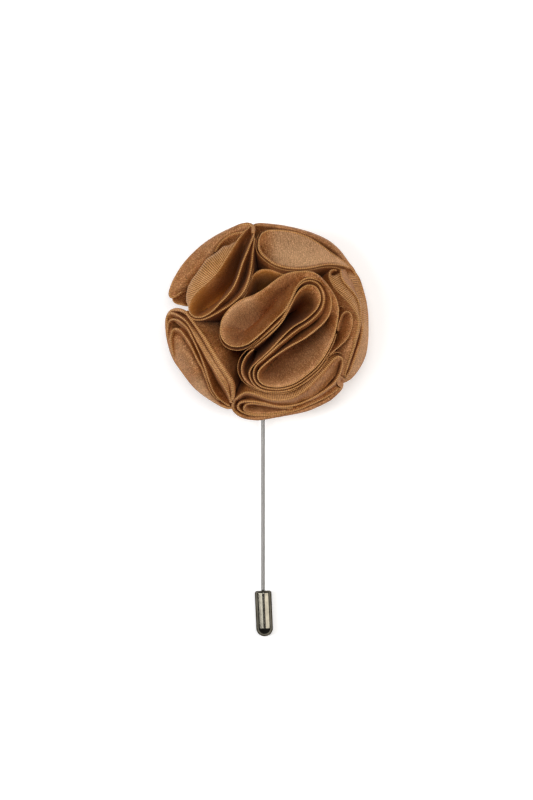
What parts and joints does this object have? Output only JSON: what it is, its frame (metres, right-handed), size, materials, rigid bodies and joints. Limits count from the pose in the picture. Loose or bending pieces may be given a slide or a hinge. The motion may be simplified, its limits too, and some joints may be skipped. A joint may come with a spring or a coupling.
{
  "type": "flower lapel pin",
  "caption": "Rosette of gathered satin folds on a felt backing, with a straight stick pin and a slide-on bullet clutch over its point.",
  "frame": {"origin": "centre of the felt backing's flat back, on the line of the pin", "axes": "+Z the way the flower faces, up as it lies on its back; +Y from the clutch towards the flower; +X to the right as the flower is looked at"},
  "size_m": [0.0504, 0.1036, 0.0267],
  "materials": {
    "felt": "brown wool felt",
    "steel": "satin drawn wire",
    "black_nickel": "black nickel plate, polished",
    "satin": "caramel satin"
  },
  "bodies": {
    "flower": {"backing": "felt", "stick_pin": "steel", "upper_left_petal": "satin", "upper_right_petal": "satin", "top_petal": "satin", "right_petal": "satin", "right_inner_petal": "satin", "right_bud": "satin", "bottom_petal": "satin", "bottom_edge_petal": "satin", "lower_left_petal": "satin", "lower_left_second_layer": "satin", "lower_left_third_layer": "satin", "centre_ruffle": "satin", "centre_lower_layer": "satin", "back_fold": "satin"},
    "clutch": {"clutch": "black_nickel"}
  },
  "joints": [
    {"name": "clutch_slide", "type": "slide", "parent": "flower", "child": "clutch", "axis": [0, -1, 0], "range_m": [0, 0.025]}
  ]
}
